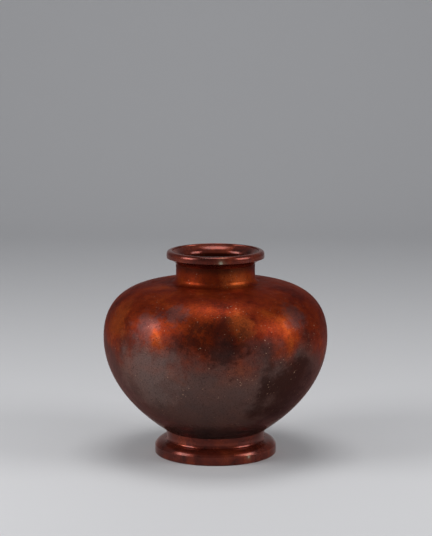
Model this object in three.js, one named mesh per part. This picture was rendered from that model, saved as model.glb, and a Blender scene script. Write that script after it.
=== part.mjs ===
// A globular bronze flower vase: a thin-walled globe with a short neck, a turned mouth ring brazed on
// the neck, a turned foot ring brazed under the globe, and a plate that closes the bottom inside the foot.
// Millimetres, +Z up, origin on the vase's axis at the surface that it stands on.
import * as THREE from "three";

// Sizes of the foot ring.
const waistRadius = 52.6; // narrowest place, just above the cove
const waistHeight = 5.0;
const waistTaper = 0.8; // how far the waist widens up to the globe
const coveFlare = 0.9; // how far the cove swings out below the waist
const coveHeight = 5.4;
const footProjection = 11.8; // from the cove's lower edge to the foot's edge band
const domeRise = 6.3; // rise of the foot's domed top above the edge band
const bandHeight = 9.4;
const bandChamfer = 0.8; // small bevel under the edge band
const restWidth = 6.0; // width of the flat ring that the vase stands on
const hollowLedge = 0.7; // upright wall between the flared hollow under the foot and the braze fillet

// Sizes of the globe and its neck.
const wall = 3.6;
const bellyRadius = 119.9;
const bellyRise = 101.2; // widest line above the top of the foot ring
const shoulderRise = 58.4; // shoulder above the widest line
const neckRadius = 42.4;
const neckHeight = 14.4; // from the fillet to the mouth ring
const neckFillet = 5.9;

// Sizes of the mouth ring.
const lipOverhang = 9.8; // from the neck to the lip's outer band
const lipUndercut = 6.4; // height of the sloping underside
const lipBand = 3.4; // height of the upright outer band
const lipRounding = 4.2; // height of the rounding above the band
const lipTopWidth = 4.6; // from the outer band to the crest of the lip
const lipEdge = 1.4; // rounding from the crest into the dish
const dishBend = 5.1; // how far below the crest the dish turns down towards the bore

// Joints between the pieces.
const brazeGap = 0.3; // thickness of the braze film between a spigot and its socket
const spigotWall = 2.4;
const mouthSpigotHeight = 4.2;
const footSpigotHeight = 7.6;
const plateThickness = 3.0;
const plateFillet = 2.4; // braze fillet under the plate

// Steps round the axis, and along each curved stretch.
const turns = 72;
const steps = 5;
const longSteps = 11;

// Heights and radii that follow from the sizes above.
const coveRadius = waistRadius + coveFlare;
const footRadius = coveRadius + footProjection;
const domeHeight = bandHeight + domeRise;
const waistBase = domeHeight + coveHeight;
const footTop = waistBase + waistHeight;
const bodyEndRadius = waistRadius + waistTaper;
const bellyHeight = footTop + bellyRise;
const shoulderHeight = bellyHeight + shoulderRise;
const shoulderRadius = neckRadius + neckFillet;
const filletTop = shoulderHeight + neckFillet;
const neckTop = filletTop + neckHeight;
const lipRadius = neckRadius + lipOverhang;
const bandBase = neckTop + lipUndercut;
const crestHeight = bandBase + lipBand + lipRounding;
const crestRadius = lipRadius - lipTopWidth;
const boreRadius = neckRadius - wall;
const neckSpigotRadius = boreRadius + spigotWall;
const neckSocketRadius = neckSpigotRadius + brazeGap;
const neckSpigotTop = neckTop + mouthSpigotHeight;
const socketRadius = bodyEndRadius - wall;
const spigotRadius = socketRadius - brazeGap;
const spigotBase = footTop - footSpigotHeight;
const plateBase = spigotBase - plateThickness;

// How far the curves of the globe run straight on from their ends.
const shoulderReach = (bellyRadius - shoulderRadius) * 0.4;
const upperBellyReach = shoulderRise * 0.877;
const lowerBellyReach = bellyRise * 0.6;
const taperReach = 7.0;
const taperAngle = THREE.MathUtils.degToRad(37);

// The outline of the globe from the foot joint up to the top of the neck.
function globeOutline() {
  const outline = new THREE.Path();
  outline.moveTo(bodyEndRadius, footTop);
  outline.bezierCurveTo(
    bodyEndRadius + taperReach * Math.cos(taperAngle),
    footTop + taperReach * Math.sin(taperAngle),
    bellyRadius,
    bellyHeight - lowerBellyReach,
    bellyRadius,
    bellyHeight,
  );
  outline.bezierCurveTo(
    bellyRadius,
    bellyHeight + upperBellyReach,
    shoulderRadius + shoulderReach,
    shoulderHeight,
    shoulderRadius,
    shoulderHeight,
  );
  const lower = outline.getPoints(longSteps);
  const fillet = new THREE.Path();
  fillet.absarc(shoulderRadius, filletTop, neckFillet, -Math.PI / 2, -Math.PI, true);
  const throat = fillet.getPoints(steps).slice(1);
  return [...lower, ...throat, new THREE.Vector2(neckRadius, neckTop)];
}

// The same outline moved inwards by a distance, square to its run.
function movedInwards(points, distance) {
  return points.map((point, i) => {
    const before = points[Math.max(i - 1, 0)];
    const after = points[Math.min(i + 1, points.length - 1)];
    const run = new THREE.Vector2().subVectors(after, before).normalize();
    return new THREE.Vector2(point.x - run.y * distance, point.y + run.x * distance);
  });
}

// A solid turned round the vase's axis from a closed outline of [radius, height] points, inside on the left.
function turned(points) {
  const outline = points.map((point) => (point.isVector2 ? point : new THREE.Vector2(...point)));
  if (outline[0].x > 0) outline.push(outline[0].clone());
  return new THREE.LatheGeometry(outline, turns).rotateX(Math.PI / 2);
}

function bodyShell() {
  const outer = globeOutline();
  const innerRadius = spigotRadius - spigotWall;
  const inner = movedInwards(outer, wall).filter(
    (point) => point.y > footTop + wall && point.y < neckTop && point.x >= boreRadius - 0.01,
  );
  return turned([
    [spigotRadius, spigotBase],
    [spigotRadius, footTop],
    ...outer,
    [neckSpigotRadius, neckTop],
    [neckSpigotRadius, neckSpigotTop],
    [boreRadius, neckSpigotTop],
    ...inner.reverse(),
    [innerRadius, footTop],
    [innerRadius, spigotBase],
  ]);
}

function mouthRing() {
  const outline = new THREE.Path();
  outline.moveTo(neckRadius, neckTop);
  outline.quadraticCurveTo(
    neckRadius + lipOverhang * 0.35,
    bandBase - lipUndercut * 0.25,
    lipRadius,
    bandBase,
  );
  outline.lineTo(lipRadius, bandBase + lipBand);
  outline.quadraticCurveTo(lipRadius, crestHeight, crestRadius, crestHeight);
  outline.quadraticCurveTo(crestRadius - lipEdge, crestHeight, crestRadius - lipEdge, crestHeight - lipEdge);
  outline.quadraticCurveTo(
    boreRadius,
    crestHeight - dishBend,
    boreRadius,
    neckSpigotTop + brazeGap,
  );
  return turned([
    ...outline.getPoints(steps),
    [boreRadius, neckSpigotTop],
    [neckSocketRadius, neckSpigotTop],
    [neckSocketRadius, neckTop],
  ]);
}

function footRing() {
  const outline = new THREE.Path();
  outline.moveTo(footRadius - bandChamfer, 0);
  outline.lineTo(footRadius, bandChamfer);
  outline.lineTo(footRadius, bandHeight);
  outline.quadraticCurveTo(footRadius - footProjection * 0.3, domeHeight, coveRadius, domeHeight);
  outline.quadraticCurveTo(waistRadius, domeHeight + coveHeight * 0.3, waistRadius, waistBase);
  outline.lineTo(bodyEndRadius, footTop);
  return turned([
    ...outline.getPoints(steps),
    [socketRadius, footTop],
    [socketRadius, plateBase - plateFillet - hollowLedge],
    [footRadius - bandChamfer - restWidth, 0],
  ]);
}

function basePlate() {
  return turned([
    [0, plateBase],
    [socketRadius, plateBase],
    [socketRadius, spigotBase],
    [0, spigotBase],
  ]);
}

function brazeFilm(innerRadius, outerRadius, bottom, top) {
  return turned([
    [innerRadius, bottom],
    [outerRadius, bottom],
    [outerRadius, top],
    [innerRadius, top],
  ]);
}

function plateBraze() {
  return turned([
    [socketRadius - plateFillet, plateBase],
    [socketRadius, plateBase - plateFillet],
    [socketRadius, plateBase],
  ]);
}

const bronze = { metalness: 0.6, roughness: 0.35 };
const russet = new THREE.MeshStandardMaterial({ color: 0x6b2110, ...bronze });
const umber = new THREE.MeshStandardMaterial({ color: 0x4a1a12, ...bronze });
const brassBraze = new THREE.MeshStandardMaterial({ color: 0xb08d57, metalness: 0.9, roughness: 0.5 });

function piece(name, geometry, material) {
  const mesh = new THREE.Mesh(geometry, material);
  mesh.name = name;
  return mesh;
}

const vase = new THREE.Group();
vase.add(
  piece("body_shell", bodyShell(), russet),
  piece("mouth_ring", mouthRing(), umber),
  piece("foot_ring", footRing(), umber),
  piece("base_plate", basePlate(), umber),
  piece("mouth_braze", brazeFilm(neckSpigotRadius, neckSocketRadius, neckTop, neckSpigotTop), brassBraze),
  piece("foot_braze", brazeFilm(spigotRadius, socketRadius, spigotBase, footTop), brassBraze),
  piece("plate_braze", plateBraze(), brassBraze),
);

export default vase;
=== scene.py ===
import math

import bmesh
import bpy
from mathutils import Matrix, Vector


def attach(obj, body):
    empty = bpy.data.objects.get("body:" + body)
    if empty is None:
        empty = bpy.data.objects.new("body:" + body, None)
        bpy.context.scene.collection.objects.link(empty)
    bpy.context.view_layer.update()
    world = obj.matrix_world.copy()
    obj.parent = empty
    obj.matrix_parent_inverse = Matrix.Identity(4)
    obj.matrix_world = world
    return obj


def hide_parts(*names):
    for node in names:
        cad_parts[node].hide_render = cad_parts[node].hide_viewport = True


# A globular patinated bronze vase on a pale floor, lit by a softbox on each side and one overhead.
# Lengths here are in metres, but for the camera's lens and sensor.
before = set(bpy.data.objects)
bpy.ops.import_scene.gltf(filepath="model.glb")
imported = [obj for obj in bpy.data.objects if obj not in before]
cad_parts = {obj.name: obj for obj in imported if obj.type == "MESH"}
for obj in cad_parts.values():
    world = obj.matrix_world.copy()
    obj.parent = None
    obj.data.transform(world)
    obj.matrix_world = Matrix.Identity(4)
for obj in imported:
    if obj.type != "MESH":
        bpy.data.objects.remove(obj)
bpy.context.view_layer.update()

TURNS = 240  # steps round the axis
ARRIS_STEPS = 4
CURVE_STEPS = 14
LONG_STEPS = 48
CREASE_ANGLE = math.radians(30)  # sharper edges than this are shaded as edges

# Foot ring.
WAIST_RADIUS = 0.0526
WAIST_TAPER = 0.0008
WAIST_LENGTH = 0.005
COVE_FLARE = 0.0009
COVE_LENGTH = 0.0054
COVE_BEND = 0.0016  # how far above the dome the cove's curve turns up
FOOT_PROJECTION = 0.0118
DOME_RISE = 0.0063
DOME_SHOULDER = 0.0035  # how far in from the foot's edge the dome's curve bends over
BAND_HEIGHT = 0.0094
BAND_BEVEL = 0.0008
REST_WIDTH = 0.006
ARRIS = 0.0005  # softening of the foot's upper edge

# Globe and neck.
WALL = 0.0036
BELLY_RADIUS = 0.1199
BELLY_RISE = 0.1012
SHOULDER_RISE = 0.0584
NECK_RADIUS = 0.0424
NECK_LENGTH = 0.0144
NECK_FILLET = 0.0059
NECK_WAIST = 0.0003  # how far the neck draws in half way up

# How far the handles of the globe's curves reach from the ends of the curves.
TAPER_REACH = 0.007
TAPER_ANGLE = math.radians(37)  # slope of the globe where it leaves the foot, from level
LOWER_BELLY_REACH = 0.0607
UPPER_BELLY_REACH = 0.0512
SHOULDER_REACH = 0.0286
FILLET_PULL = 0.55  # share of the fillet that each of its handles spans

# Mouth ring.
LIP_OVERHANG = 0.0098
LIP_UNDERCUT = 0.0064
UNDERCUT_REACH = 0.0034
UNDERCUT_DROP = 0.0017
LIP_BAND = 0.0034
LIP_ROUNDING = 0.0042
LIP_TOP_WIDTH = 0.0046
LIP_EDGE = 0.0014
DISH_BEND = 0.0051  # how far below the crest the dish turns down towards the bore

# Joints and the bottom plate.
BRAZE_GAP = 0.0003
SPIGOT_WALL = 0.0024
MOUTH_SPIGOT_LENGTH = 0.0042
FOOT_SPIGOT_LENGTH = 0.0076
PLATE_THICKNESS = 0.003
PLATE_FILLET = 0.0024
FILLET_MIDDLE = 0.3  # how far the middle of the fillet's face is from the corner, as a share of its size
HOLLOW_LEDGE = 0.0007  # upright wall between the braze fillet and the flare of the hollow

# Radii and heights that follow from the sizes above.
COVE_RADIUS = WAIST_RADIUS + COVE_FLARE
FOOT_RADIUS = COVE_RADIUS + FOOT_PROJECTION
BODY_END_RADIUS = WAIST_RADIUS + WAIST_TAPER
DOME_HEIGHT = BAND_HEIGHT + DOME_RISE
WAIST_BASE = DOME_HEIGHT + COVE_LENGTH
FOOT_TOP = WAIST_BASE + WAIST_LENGTH
BELLY_HEIGHT = FOOT_TOP + BELLY_RISE
SHOULDER_HEIGHT = BELLY_HEIGHT + SHOULDER_RISE
SHOULDER_RADIUS = NECK_RADIUS + NECK_FILLET
FILLET_TOP = SHOULDER_HEIGHT + NECK_FILLET
NECK_TOP = FILLET_TOP + NECK_LENGTH
LIP_RADIUS = NECK_RADIUS + LIP_OVERHANG
BAND_BASE = NECK_TOP + LIP_UNDERCUT
BAND_TOP = BAND_BASE + LIP_BAND
CREST_HEIGHT = BAND_TOP + LIP_ROUNDING
CREST_RADIUS = LIP_RADIUS - LIP_TOP_WIDTH
BORE_RADIUS = NECK_RADIUS - WALL
NECK_SPIGOT_RADIUS = BORE_RADIUS + SPIGOT_WALL
NECK_SOCKET_RADIUS = NECK_SPIGOT_RADIUS + BRAZE_GAP
NECK_SPIGOT_TOP = NECK_TOP + MOUTH_SPIGOT_LENGTH
SOCKET_RADIUS = BODY_END_RADIUS - WALL
SPIGOT_RADIUS = SOCKET_RADIUS - BRAZE_GAP
SPIGOT_INNER = SPIGOT_RADIUS - SPIGOT_WALL
PLATE_TOP = FOOT_TOP - FOOT_SPIGOT_LENGTH
PLATE_BASE = PLATE_TOP - PLATE_THICKNESS
HOLLOW_TOP = PLATE_BASE - PLATE_FILLET - HOLLOW_LEDGE

# Colours of the patina, and of painted shade and painted reflections, in linear light.
OXBLOOD = (0.05, 0.007, 0.004)
DARK_RED = (0.14, 0.015, 0.005)
RED = (0.22, 0.028, 0.006)
ORANGE_RED = (0.34, 0.06, 0.01)
ORANGE = (0.42, 0.09, 0.02)
PAINTED_FLOOR_REFLECTION = (0.095, 0.074, 0.067)
PAINTED_SHEEN_GREY = (0.2, 0.14, 0.125)
PURPLE_GREY = (0.085, 0.05, 0.05)
BLACK_BROWN = (0.02, 0.007, 0.006)
BLACK_RED = (0.025, 0.008, 0.006)
LIP_SHADOW_RED = (0.02, 0.006, 0.004)
PIT_BROWN = (0.018, 0.008, 0.007)
GRAIN_BROWN = (0.02, 0.01, 0.008)
CREAM = (0.5, 0.3, 0.2)

EDGE_WOBBLE = 0.35  # raggedness of a patch's edge, as a share of its radius

# Large patches on the globe, patina and one painted sheen: centre, radius, raggedness, colour and
# strength.
PATCHES = [
    # The first patch is a painted sheen: the pale glow of the floor reflected low on the globe's left
    # front.
    ((-0.07, -0.0915, 0.1), 0.05, EDGE_WOBBLE, PAINTED_SHEEN_GREY, 0.45),
    ((0.025, -0.11, 0.157), 0.02, EDGE_WOBBLE, ORANGE, 0.5),
    ((0.02, -0.037, 0.194), 0.022, EDGE_WOBBLE, ORANGE, 0.5),
    ((-0.1, -0.05, 0.15), 0.03, EDGE_WOBBLE, ORANGE, 0.5),
    ((-0.072, -0.089, 0.1535), 0.024, EDGE_WOBBLE, PURPLE_GREY, 0.55),
    ((-0.041, -0.096, 0.1675), 0.018, EDGE_WOBBLE, PURPLE_GREY, 0.55),
    ((0.082, -0.0715, 0.163), 0.022, EDGE_WOBBLE, PURPLE_GREY, 0.55),
    ((0.06, 0.08, 0.16), 0.03, EDGE_WOBBLE, PURPLE_GREY, 0.55),
    ((0.0, -0.118, 0.14), 0.04, 0.6, BLACK_BROWN, 0.62),
    ((0.078, -0.075, 0.08), 0.065, EDGE_WOBBLE, BLACK_RED, 0.85),
]

# Rubbed places on the lip and on the foot: centre and radius.
LIP_WORN = ((0.0055, -0.0516, 0.2136), 0.0028)
FOOT_WORN = ((0.035, -0.055, 0.0075), 0.0016)

TURNING_WAVES = 9000.0  # turning marks up the lip and foot, in radians of wave to the metre

# Floor and backdrop.
FLOOR_FRONT = -2.6
FLOOR_BACK = 1.6
BACKDROP_BEND = 0.9
BACKDROP_STEPS = 16
BACKDROP_TOP = 4.0
FLOOR_HALF_WIDTH = 4.0

# Camera, and the point that the lamps face.
CAMERA_PLACE = (0.00054, -2.1165, 0.5433)
CAMERA_PITCH = math.radians(9.2)
CAMERA_LENS = 135  # in millimetres
CAMERA_SENSOR = 36  # width in millimetres
LAMP_TARGET = Vector((0, 0, 0.12))


def bezier(points, steps):
    """Points along a Bezier curve, leaving its first point out."""
    made = []
    for i in range(1, steps + 1):
        t = i / steps
        level = [Vector(p) for p in points]
        while len(level) > 1:
            level = [a.lerp(b, t) for a, b in zip(level, level[1:])]
        made.append(tuple(level[0]))
    return made


def turned(name, outline, cad_node, material):
    """A piece turned round the Z axis from a closed outline of (radius, height) points."""
    mesh = bpy.data.meshes.new(name)
    made = bmesh.new()
    angles = [2 * math.pi * k / TURNS for k in range(TURNS)]
    rings = []
    for radius, height in outline:
        if radius == 0:
            ring = [made.verts.new((0, 0, height))] * TURNS
        else:
            ring = [made.verts.new((radius * math.cos(a), radius * math.sin(a), height)) for a in angles]
        rings.append(ring)
    for low, high in zip(rings, rings[1:] + rings[:1]):
        for k in range(TURNS):
            after = (k + 1) % TURNS
            corners = list(dict.fromkeys([low[k], low[after], high[after], high[k]]))
            if len(corners) > 2:
                made.faces.new(corners)
    bmesh.ops.recalc_face_normals(made, faces=made.faces)
    for face in made.faces:
        face.smooth = True
    for edge in made.edges:
        edge.smooth = len(edge.link_faces) == 2 and edge.calc_face_angle() < CREASE_ANGLE
    made.to_mesh(mesh)
    made.free()
    mesh.materials.append(material)
    piece = bpy.data.objects.new(name, mesh)
    bpy.context.scene.collection.objects.link(piece)
    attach(piece, "root")
    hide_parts(cad_node)


def globe_curve():
    """The outside of the globe and neck, from the foot joint up."""
    start = (BODY_END_RADIUS, FOOT_TOP)
    lower = bezier([
        start,
        (
            BODY_END_RADIUS + TAPER_REACH * math.cos(TAPER_ANGLE),
            FOOT_TOP + TAPER_REACH * math.sin(TAPER_ANGLE),
        ),
        (BELLY_RADIUS, BELLY_HEIGHT - LOWER_BELLY_REACH),
        (BELLY_RADIUS, BELLY_HEIGHT),
    ], LONG_STEPS)
    upper = bezier([
        (BELLY_RADIUS, BELLY_HEIGHT),
        (BELLY_RADIUS, BELLY_HEIGHT + UPPER_BELLY_REACH),
        (SHOULDER_RADIUS + SHOULDER_REACH, SHOULDER_HEIGHT),
        (SHOULDER_RADIUS, SHOULDER_HEIGHT),
    ], LONG_STEPS)
    fillet = bezier([
        (SHOULDER_RADIUS, SHOULDER_HEIGHT),
        (SHOULDER_RADIUS - NECK_FILLET * FILLET_PULL, SHOULDER_HEIGHT),
        (NECK_RADIUS, SHOULDER_HEIGHT + NECK_FILLET * FILLET_PULL),
        (NECK_RADIUS, FILLET_TOP),
    ], CURVE_STEPS)
    neck = bezier([
        (NECK_RADIUS, FILLET_TOP),
        (NECK_RADIUS - 2 * NECK_WAIST, (FILLET_TOP + NECK_TOP) / 2),
        (NECK_RADIUS, NECK_TOP),
    ], CURVE_STEPS)
    return [start, *lower, *upper, *fillet, *neck]


def moved_inwards(points, distance):
    """The same curve moved towards the axis, square to its run."""
    vectors = [Vector(point) for point in points]
    made = []
    for i, point in enumerate(vectors):
        before = vectors[max(i - 1, 0)]
        after = vectors[min(i + 1, len(vectors) - 1)]
        run = (after - before).normalized()
        made.append((point.x - run.y * distance, point.y + run.x * distance))
    return made


def body_outline():
    """The globe and neck as one wall, with the spigots for the foot and for the mouth ring."""
    outer = globe_curve()
    inner = [
        (radius, height)
        for radius, height in moved_inwards(outer, WALL)
        if FOOT_TOP + WALL < height < NECK_TOP and radius > BORE_RADIUS
    ]
    return [
        (SPIGOT_RADIUS, PLATE_TOP),
        (SPIGOT_RADIUS, FOOT_TOP),
        *outer,
        (NECK_SPIGOT_RADIUS, NECK_TOP),
        (NECK_SPIGOT_RADIUS, NECK_SPIGOT_TOP),
        (BORE_RADIUS, NECK_SPIGOT_TOP),
        *reversed(inner),
        (SPIGOT_INNER, FOOT_TOP),
        (SPIGOT_INNER, PLATE_TOP),
    ]


def mouth_outline():
    """The lip: sloping underside, upright band, rounded top, and the dish down to the bore."""
    edge_radius = CREST_RADIUS - LIP_EDGE
    undercut = [
        (NECK_RADIUS, NECK_TOP),
        (NECK_RADIUS + UNDERCUT_REACH, BAND_BASE - UNDERCUT_DROP),
        (LIP_RADIUS, BAND_BASE),
    ]
    rounding = [
        (LIP_RADIUS, BAND_TOP),
        (LIP_RADIUS, CREST_HEIGHT),
        (CREST_RADIUS, CREST_HEIGHT),
    ]
    edge = [
        (CREST_RADIUS, CREST_HEIGHT),
        (edge_radius, CREST_HEIGHT),
        (edge_radius, CREST_HEIGHT - LIP_EDGE),
    ]
    dish = [
        (edge_radius, CREST_HEIGHT - LIP_EDGE),
        (BORE_RADIUS, CREST_HEIGHT - DISH_BEND),
        (BORE_RADIUS, NECK_SPIGOT_TOP + BRAZE_GAP),
    ]
    return [
        undercut[0],
        *bezier(undercut, CURVE_STEPS),
        rounding[0],
        *bezier(rounding, CURVE_STEPS),
        *bezier(edge, CURVE_STEPS),
        *bezier(dish, CURVE_STEPS),
        (BORE_RADIUS, NECK_SPIGOT_TOP),
        (NECK_SOCKET_RADIUS, NECK_SPIGOT_TOP),
        (NECK_SOCKET_RADIUS, NECK_TOP),
    ]


def foot_outline():
    """The foot: bevelled band, softened edge, dome, cove and waist, and the flared hollow inside."""
    arris = [
        (FOOT_RADIUS, BAND_HEIGHT - ARRIS),
        (FOOT_RADIUS, BAND_HEIGHT),
        (FOOT_RADIUS - ARRIS, BAND_HEIGHT + ARRIS),
    ]
    dome = [
        arris[-1],
        (FOOT_RADIUS - DOME_SHOULDER, DOME_HEIGHT),
        (COVE_RADIUS, DOME_HEIGHT),
    ]
    cove = [
        (COVE_RADIUS, DOME_HEIGHT),
        (WAIST_RADIUS, DOME_HEIGHT + COVE_BEND),
        (WAIST_RADIUS, WAIST_BASE),
    ]
    return [
        (FOOT_RADIUS - BAND_BEVEL, 0),
        (FOOT_RADIUS, BAND_BEVEL),
        arris[0],
        *bezier(arris, ARRIS_STEPS),
        *bezier(dome, CURVE_STEPS),
        *bezier(cove, CURVE_STEPS),
        (BODY_END_RADIUS, FOOT_TOP),
        (SOCKET_RADIUS, FOOT_TOP),
        (SOCKET_RADIUS, HOLLOW_TOP),
        (FOOT_RADIUS - BAND_BEVEL - REST_WIDTH, 0),
    ]


def ring_outline(inner, outer, low, high):
    """The cross-section of a plain ring, or of a disc where the inner radius is 0."""
    return [(inner, low), (outer, low), (outer, high), (inner, high)]


def fillet_outline():
    """The slightly hollow braze fillet in the corner under the bottom plate."""
    inset = PLATE_FILLET * FILLET_MIDDLE
    return [
        (SOCKET_RADIUS - PLATE_FILLET, PLATE_BASE),
        (SOCKET_RADIUS - inset, PLATE_BASE - inset),
        (SOCKET_RADIUS, PLATE_BASE - PLATE_FILLET),
        (SOCKET_RADIUS, PLATE_BASE),
    ]


class Patina:
    """A bronze material whose colour is built up in layers."""

    def __init__(self, name, metallic):
        self.material = bpy.data.materials.new(name)
        self.material.use_nodes = True
        self.tree = self.material.node_tree
        self.shader = self.tree.nodes["Principled BSDF"]
        self.shader.inputs["Metallic"].default_value = metallic
        self.place = self.tree.nodes.new("ShaderNodeTexCoord").outputs["Object"]
        self.colour = None

    def lacquer(self, weight, roughness):
        """A clear glossy film over the metal."""
        self.shader.inputs["Coat Weight"].default_value = weight
        self.shader.inputs["Coat Roughness"].default_value = roughness

    def tint_reflections(self, level, edge_colour):
        self.shader.inputs["Specular IOR Level"].default_value = level
        self.shader.inputs["Specular Tint"].default_value = (*edge_colour, 1)

    def link(self, source, target):
        self.tree.links.new(source, target)

    def noise(self, scale, detail=6, roughness=0.6, distortion=0.0):
        """Cloudy values; scale is in clouds to the metre."""
        node = self.tree.nodes.new("ShaderNodeTexNoise")
        node.inputs["Scale"].default_value = scale
        node.inputs["Detail"].default_value = detail
        node.inputs["Roughness"].default_value = roughness
        node.inputs["Distortion"].default_value = distortion
        self.link(self.place, node.inputs["Vector"])
        return node.outputs["Fac"]

    def height(self):
        node = self.tree.nodes.new("ShaderNodeSeparateXYZ")
        self.link(self.place, node.inputs[0])
        return node.outputs["Z"]

    def cells(self, scale):
        """Distance from the nearest of many scattered points, in cell widths."""
        node = self.tree.nodes.new("ShaderNodeTexVoronoi")
        node.inputs["Scale"].default_value = scale
        self.link(self.place, node.inputs["Vector"])
        return node.outputs["Distance"]

    def between(self, value, low, high, to_low=0.0, to_high=1.0):
        """Maps a value smoothly from one range to another."""
        node = self.tree.nodes.new("ShaderNodeMapRange")
        node.interpolation_type = "SMOOTHSTEP"
        node.inputs["From Min"].default_value = low
        node.inputs["From Max"].default_value = high
        node.inputs["To Min"].default_value = to_low
        node.inputs["To Max"].default_value = to_high
        self.link(value, node.inputs["Value"])
        return node.outputs["Result"]

    def clouds(self, scale, detail, to_low, to_high):
        """Soft clouds spread over the range that is asked for."""
        return self.between(self.noise(scale, detail, 0.7), 0.3, 0.7, to_low, to_high)

    def maths(self, operation, first, second=0.0):
        node = self.tree.nodes.new("ShaderNodeMath")
        node.operation = operation
        for socket, value in zip(node.inputs, (first, second)):
            if isinstance(value, (int, float)):
                socket.default_value = value
            else:
                self.link(value, socket)
        return node.outputs[0]

    def patch(self, centre, radius, wobble=EDGE_WOBBLE):
        """A soft patch with a ragged edge round a place on the surface."""
        node = self.tree.nodes.new("ShaderNodeVectorMath")
        node.operation = "DISTANCE"
        node.inputs[1].default_value = centre
        self.link(self.place, node.inputs[0])
        ragged = self.clouds(2.2 / radius, 6, -wobble * radius, wobble * radius)
        return self.between(self.maths("ADD", node.outputs["Value"], ragged), radius, radius * 0.25)

    def ground(self, amount, stops):
        """The first layer: a ramp of colours over a value."""
        node = self.tree.nodes.new("ShaderNodeValToRGB")
        ramp = node.color_ramp
        while len(ramp.elements) < len(stops):
            ramp.elements.new(0.5)
        for element, (place, colour) in zip(ramp.elements, stops):
            element.position = place
            element.color = (*colour, 1)
        self.link(amount, node.inputs["Fac"])
        self.colour = node.outputs["Color"]

    def layer(self, amount, colour, strength):
        """Lays a colour over what is there."""
        node = self.tree.nodes.new("ShaderNodeMix")
        node.data_type = "RGBA"
        self.link(self.maths("MULTIPLY", amount, strength), node.inputs["Factor"])
        self.link(self.colour, node.inputs["A"])
        node.inputs["B"].default_value = (*colour, 1)
        self.colour = node.outputs["Result"]

    def finish(self, roughness, relief, depth):
        """Joins up the colour, the roughness and the fine relief."""
        self.link(self.colour, self.shader.inputs["Base Color"])
        self.link(roughness, self.shader.inputs["Roughness"])
        bump = self.tree.nodes.new("ShaderNodeBump")
        bump.inputs["Strength"].default_value = 1.0
        bump.inputs["Distance"].default_value = depth
        self.link(relief, bump.inputs["Height"])
        self.link(bump.outputs["Normal"], self.shader.inputs["Normal"])
        return self.material


def russet_bronze():
    """The globe: red and orange above, grey-brown below as a painted reflection of the floor, with
    cloudy patches (one a painted sheen), painted shade under the lip, pits and pale flecks.
    """
    skin = Patina("russet_bronze", 0.7)
    skin.tint_reflections(0.15, (0.55, 0.24, 0.18))
    skin.ground(skin.noise(30, 10, 0.66, 0.3), [
        (0.28, OXBLOOD),
        (0.42, DARK_RED),
        (0.56, RED),
        (0.72, ORANGE_RED),
    ])

    # Painted reflection of the floor: grey-brown on the lower half, with an uneven upper edge.
    uneven = skin.between(skin.noise(30), 0.3, 0.7, -0.012, 0.012)
    uneven_height = skin.maths("ADD", skin.height(), uneven)
    skin.layer(skin.between(uneven_height, 0.15, 0.1), PAINTED_FLOOR_REFLECTION, 0.8)

    for centre, radius, wobble, colour, strength in PATCHES:
        skin.layer(skin.patch(centre, radius, wobble), colour, strength)

    # Painted shadow of the lip: a dark band round the neck just under the lip.
    skin.layer(skin.between(skin.height(), 0.195, 0.205), LIP_SHADOW_RED, 0.75)

    # Dark specks, pale flecks and fine dark grain.
    skin.layer(skin.between(skin.noise(420, 3, 0.7), 0.58, 0.72), PIT_BROWN, 0.6)
    small_dots = skin.between(skin.noise(520, 2, 0.5), 0.68, 0.74)
    fleck_areas = skin.between(skin.noise(40, 3), 0.46, 0.58)
    skin.layer(skin.maths("MULTIPLY", small_dots, fleck_areas), CREAM, 0.8)
    skin.layer(skin.between(skin.noise(800, 4, 0.75), 0.48, 0.66), GRAIN_BROWN, 0.5)

    # Satin above, glossier just above the foot.
    polish = skin.between(skin.height(), 0.035, 0.06, 0.4, 1.0)
    roughness = skin.maths("MULTIPLY", skin.clouds(70, 7, 0.34, 0.5), polish)

    # Casting grain with scattered pits.
    grain = skin.maths("MULTIPLY", skin.noise(900, 4, 0.7), 0.5)
    pits = skin.between(skin.cells(220), 0.0, 0.2, -1.0, 0.0)
    return skin.finish(roughness, skin.maths("ADD", grain, pits), 0.00012)


def polished_bronze(name, worn_place, worn_radius):
    """The lip and the foot: dark red-brown, glossy, with fine turning marks and one rubbed place."""
    skin = Patina(name, 0.6)
    skin.lacquer(0.25, 0.14)
    skin.tint_reflections(0.3, (0.8, 0.55, 0.5))
    skin.ground(skin.noise(45, 8, 0.65, 0.5), [
        (0.32, (0.04, 0.009, 0.006)),
        (0.5, (0.12, 0.018, 0.01)),
        (0.68, (0.22, 0.036, 0.014)),
    ])
    skin.layer(skin.between(skin.noise(380, 4, 0.7), 0.56, 0.72), (0.02, 0.009, 0.008), 0.6)
    skin.layer(skin.patch(worn_place, worn_radius * 3), (0.24, 0.12, 0.075), 0.5)
    skin.layer(skin.patch(worn_place, worn_radius), (0.45, 0.42, 0.32), 0.85)
    waves = skin.maths("SINE", skin.maths("MULTIPLY", skin.height(), TURNING_WAVES))
    turning_marks = skin.maths("MULTIPLY", waves, 0.08)
    relief = skin.maths("ADD", skin.noise(700, 4, 0.7), turning_marks)
    return skin.finish(skin.clouds(120, 6, 0.14, 0.3), relief, 0.00005)


def dull_metal(name, dark, light, metallic):
    """Unpolished metal inside the foot and in the joints."""
    skin = Patina(name, metallic)
    skin.ground(skin.noise(80, 8, 0.7, 0.6), [(0.3, dark), (0.7, light)])
    skin.layer(skin.between(skin.noise(500, 3, 0.7), 0.58, 0.7), dark, 0.7)
    roughness = skin.between(skin.noise(150, 6), 0.3, 0.7, 0.42, 0.62)
    return skin.finish(roughness, skin.noise(600, 5, 0.7), 0.0002)


def floor_paper():
    material = bpy.data.materials.new("pale_floor")
    material.use_nodes = True
    shader = material.node_tree.nodes["Principled BSDF"]
    shader.inputs["Base Color"].default_value = (0.62, 0.62, 0.63, 1)
    shader.inputs["Roughness"].default_value = 0.7
    return material


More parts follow.
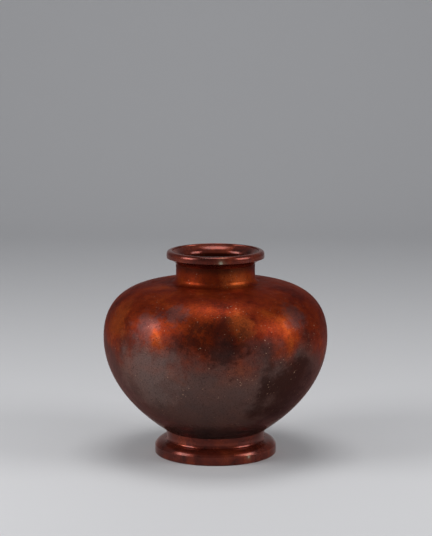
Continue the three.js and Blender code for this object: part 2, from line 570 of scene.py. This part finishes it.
def build_vase():
    braze = dull_metal("braze", (0.2, 0.12, 0.05), (0.5, 0.34, 0.16), 0.8)
    lip = polished_bronze("polished_lip_bronze", *LIP_WORN)
    foot = polished_bronze("polished_foot_bronze", *FOOT_WORN)
    plate = dull_metal("plate_bronze", (0.03, 0.014, 0.01), (0.12, 0.05, 0.03), 0.5)
    disc = ring_outline(0, SOCKET_RADIUS, PLATE_BASE, PLATE_TOP)
    mouth_film = ring_outline(NECK_SPIGOT_RADIUS, NECK_SOCKET_RADIUS, NECK_TOP, NECK_SPIGOT_TOP)
    foot_film = ring_outline(SPIGOT_RADIUS, SOCKET_RADIUS, PLATE_TOP, FOOT_TOP)
    turned("globe", body_outline(), "body_shell", russet_bronze())
    turned("lip", mouth_outline(), "mouth_ring", lip)
    turned("foot", foot_outline(), "foot_ring", foot)
    turned("bottom", disc, "base_plate", plate)
    turned("lip_film", mouth_film, "mouth_braze", braze)
    turned("foot_film", foot_film, "foot_braze", braze)
    turned("bottom_bead", fillet_outline(), "plate_braze", braze)


def build_stage():
    """A pale floor that curves up into a pale backdrop."""
    run = [(FLOOR_FRONT, 0), (FLOOR_BACK, 0)]
    for step in range(1, BACKDROP_STEPS + 1):
        angle = math.pi / 2 * step / BACKDROP_STEPS
        run.append((
            FLOOR_BACK + BACKDROP_BEND * math.sin(angle),
            BACKDROP_BEND * (1 - math.cos(angle)),
        ))
    run.append((FLOOR_BACK + BACKDROP_BEND, BACKDROP_TOP))
    verts = [(x, y, z) for y, z in run for x in (-FLOOR_HALF_WIDTH, FLOOR_HALF_WIDTH)]
    faces = [(2 * i, 2 * i + 1, 2 * i + 3, 2 * i + 2) for i in range(len(run) - 1)]
    mesh = bpy.data.meshes.new("floor")
    mesh.from_pydata(verts, [], faces)
    for polygon in mesh.polygons:
        polygon.use_smooth = True
    mesh.materials.append(floor_paper())
    floor = bpy.data.objects.new("floor", mesh)
    bpy.context.scene.collection.objects.link(floor)


def add_softbox(name, place, size, power):
    light = bpy.data.lights.new(name, "AREA")
    light.shape = "RECTANGLE"
    light.size, light.size_y = size
    light.energy = power
    lamp = bpy.data.objects.new(name, light)
    lamp.location = place
    lamp.rotation_euler = (LAMP_TARGET - Vector(place)).to_track_quat("-Z", "Y").to_euler()
    bpy.context.scene.collection.objects.link(lamp)


def build_light():
    add_softbox("left_softbox", (-1.35, -0.5, 0.8), (0.8, 0.9), 16)
    add_softbox("right_softbox", (1.35, -0.5, 0.8), (0.8, 0.9), 13)
    add_softbox("top_softbox", (0, 0.1, 1.9), (0.9, 0.9), 12)
    world = bpy.data.worlds.new("room")
    world.use_nodes = True
    background = world.node_tree.nodes["Background"]
    background.inputs["Color"].default_value = (0.9, 0.93, 1, 1)
    background.inputs["Strength"].default_value = 0.2
    bpy.context.scene.world = world


def build_camera():
    data = bpy.data.cameras.new("camera")
    data.lens = CAMERA_LENS
    data.sensor_width = CAMERA_SENSOR
    camera = bpy.data.objects.new("camera", data)
    camera.location = CAMERA_PLACE
    camera.rotation_euler = (math.pi / 2 - CAMERA_PITCH, 0, 0)
    bpy.context.scene.collection.objects.link(camera)
    bpy.context.scene.camera = camera


build_vase()
build_stage()
build_light()
build_camera()
bpy.context.scene.view_settings.view_transform = "Standard"
bpy.context.view_layer.update()
